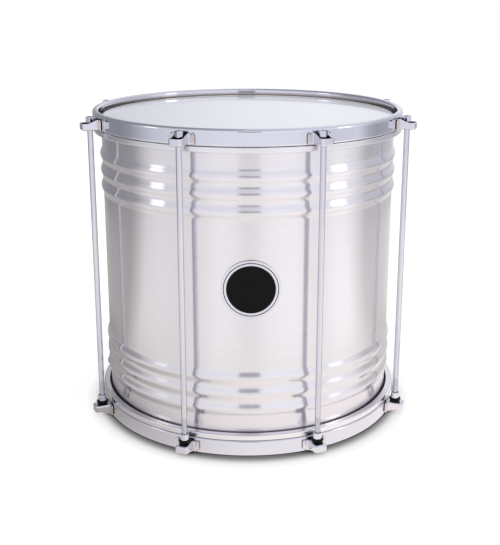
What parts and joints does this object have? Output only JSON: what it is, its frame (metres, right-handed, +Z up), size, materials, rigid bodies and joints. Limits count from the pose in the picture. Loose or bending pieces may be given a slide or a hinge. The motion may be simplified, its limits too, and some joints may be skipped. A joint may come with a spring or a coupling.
{
  "type": "repinique",
  "caption": "Double-headed cylindrical metal drum with beaded shell, rolled hoops, tension rods and a plain round badge.",
  "frame": {"origin": "centre of the lower hoop's crest, on the surface the drum stands on", "axes": "+Z up along the drum's axis, -Y towards the badge, +X to the right when facing the badge"},
  "size_m": [0.33, 0.33, 0.3186],
  "materials": {
    "brushed_aluminium": "brushed",
    "chromed_steel": "polished",
    "drawn_aluminium": "bright",
    "white_film": "smooth white",
    "black_nylon": "satin",
    "black_enamel": "gloss"
  },
  "bodies": {
    "drum": {"shell": "brushed_aluminium", "badge_plate": "chromed_steel", "badge_inlay": "black_enamel", "top_hoop": "chromed_steel", "top_flesh_hoop": "drawn_aluminium", "top_head_film": "white_film", "bottom_hoop": "chromed_steel", "bottom_flesh_hoop": "drawn_aluminium", "bottom_head_film": "white_film", "top_ear_1": "chromed_steel", "bottom_ear_1": "chromed_steel", "sleeve_nut_1": "chromed_steel", "nut_grommet_1": "black_nylon", "top_ear_2": "chromed_steel", "bottom_ear_2": "chromed_steel", "sleeve_nut_2": "chromed_steel", "nut_grommet_2": "black_nylon", "top_ear_3": "chromed_steel", "bottom_ear_3": "chromed_steel", "sleeve_nut_3": "chromed_steel", "nut_grommet_3": "black_nylon", "top_ear_4": "chromed_steel", "bottom_ear_4": "chromed_steel", "sleeve_nut_4": "chromed_steel", "nut_grommet_4": "black_nylon", "top_ear_5": "chromed_steel", "bottom_ear_5": "chromed_steel", "sleeve_nut_5": "chromed_steel", "nut_grommet_5": "black_nylon", "top_ear_6": "chromed_steel", "bottom_ear_6": "chromed_steel", "sleeve_nut_6": "chromed_steel", "nut_grommet_6": "black_nylon", "top_ear_7": "chromed_steel", "bottom_ear_7": "chromed_steel", "sleeve_nut_7": "chromed_steel", "nut_grommet_7": "black_nylon", "top_ear_8": "chromed_steel", "bottom_ear_8": "chromed_steel", "sleeve_nut_8": "chromed_steel", "nut_grommet_8": "black_nylon"},
    "washer_1": {"rod_washer_1": "chromed_steel"},
    "rod_1": {"tension_rod_1": "chromed_steel"},
    "washer_2": {"rod_washer_2": "chromed_steel"},
    "rod_2": {"tension_rod_2": "chromed_steel"},
    "washer_3": {"rod_washer_3": "chromed_steel"},
    "rod_3": {"tension_rod_3": "chromed_steel"},
    "washer_4": {"rod_washer_4": "chromed_steel"},
    "rod_4": {"tension_rod_4": "chromed_steel"},
    "washer_5": {"rod_washer_5": "chromed_steel"},
    "rod_5": {"tension_rod_5": "chromed_steel"},
    "washer_6": {"rod_washer_6": "chromed_steel"},
    "rod_6": {"tension_rod_6": "chromed_steel"},
    "washer_7": {"rod_washer_7": "chromed_steel"},
    "rod_7": {"tension_rod_7": "chromed_steel"},
    "washer_8": {"rod_washer_8": "chromed_steel"},
    "rod_8": {"tension_rod_8": "chromed_steel"}
  },
  "joints": [
    {"name": "rod_lift_1", "type": "slide", "parent": "drum", "child": "washer_1", "axis": [0, 0, 1], "range_m": [0, 0.0127]},
    {"name": "rod_turn_1", "type": "hinge", "parent": "washer_1", "child": "rod_1", "pos_m": [0.06429, -0.15521, 0.3116], "axis": [0, 0, 1], "range_deg": [0, 4320]},
    {"name": "rod_lift_2", "type": "slide", "parent": "drum", "child": "washer_2", "axis": [0, 0, 1], "range_m": [0, 0.0127]},
    {"name": "rod_turn_2", "type": "hinge", "parent": "washer_2", "child": "rod_2", "pos_m": [0.15521, -0.06429, 0.3116], "axis": [0, 0, 1], "range_deg": [0, 4320]},
    {"name": "rod_lift_3", "type": "slide", "parent": "drum", "child": "washer_3", "axis": [0, 0, 1], "range_m": [0, 0.0127]},
    {"name": "rod_turn_3", "type": "hinge", "parent": "washer_3", "child": "rod_3", "pos_m": [0.15521, 0.06429, 0.3116], "axis": [0, 0, 1], "range_deg": [0, 4320]},
    {"name": "rod_lift_4", "type": "slide", "parent": "drum", "child": "washer_4", "axis": [0, 0, 1], "range_m": [0, 0.0127]},
    {"name": "rod_turn_4", "type": "hinge", "parent": "washer_4", "child": "rod_4", "pos_m": [0.06429, 0.15521, 0.3116], "axis": [0, 0, 1], "range_deg": [0, 4320]},
    {"name": "rod_lift_5", "type": "slide", "parent": "drum", "child": "washer_5", "axis": [0, 0, 1], "range_m": [0, 0.0127]},
    {"name": "rod_turn_5", "type": "hinge", "parent": "washer_5", "child": "rod_5", "pos_m": [-0.06429, 0.15521, 0.3116], "axis": [0, 0, 1], "range_deg": [0, 4320]},
    {"name": "rod_lift_6", "type": "slide", "parent": "drum", "child": "washer_6", "axis": [0, 0, 1], "range_m": [0, 0.0127]},
    {"name": "rod_turn_6", "type": "hinge", "parent": "washer_6", "child": "rod_6", "pos_m": [-0.15521, 0.06429, 0.3116], "axis": [0, 0, 1], "range_deg": [0, 4320]},
    {"name": "rod_lift_7", "type": "slide", "parent": "drum", "child": "washer_7", "axis": [0, 0, 1], "range_m": [0, 0.0127]},
    {"name": "rod_turn_7", "type": "hinge", "parent": "washer_7", "child": "rod_7", "pos_m": [-0.15521, -0.06429, 0.3116], "axis": [0, 0, 1], "range_deg": [0, 4320]},
    {"name": "rod_lift_8", "type": "slide", "parent": "drum", "child": "washer_8", "axis": [0, 0, 1], "range_m": [0, 0.0127]},
    {"name": "rod_turn_8", "type": "hinge", "parent": "washer_8", "child": "rod_8", "pos_m": [-0.06429, -0.15521, 0.3116], "axis": [0, 0, 1], "range_deg": [0, 4320]}
  ],
  "couplings": [
    {"joint": "rod_turn_1", "follows": "rod_lift_1", "rad_per_m": 5936.9},
    {"joint": "rod_turn_2", "follows": "rod_lift_2", "rad_per_m": 5936.9},
    {"joint": "rod_turn_3", "follows": "rod_lift_3", "rad_per_m": 5936.9},
    {"joint": "rod_turn_4", "follows": "rod_lift_4", "rad_per_m": 5936.9},
    {"joint": "rod_turn_5", "follows": "rod_lift_5", "rad_per_m": 5936.9},
    {"joint": "rod_turn_6", "follows": "rod_lift_6", "rad_per_m": 5936.9},
    {"joint": "rod_turn_7", "follows": "rod_lift_7", "rad_per_m": 5936.9},
    {"joint": "rod_turn_8", "follows": "rod_lift_8", "rad_per_m": 5936.9}
  ]
}
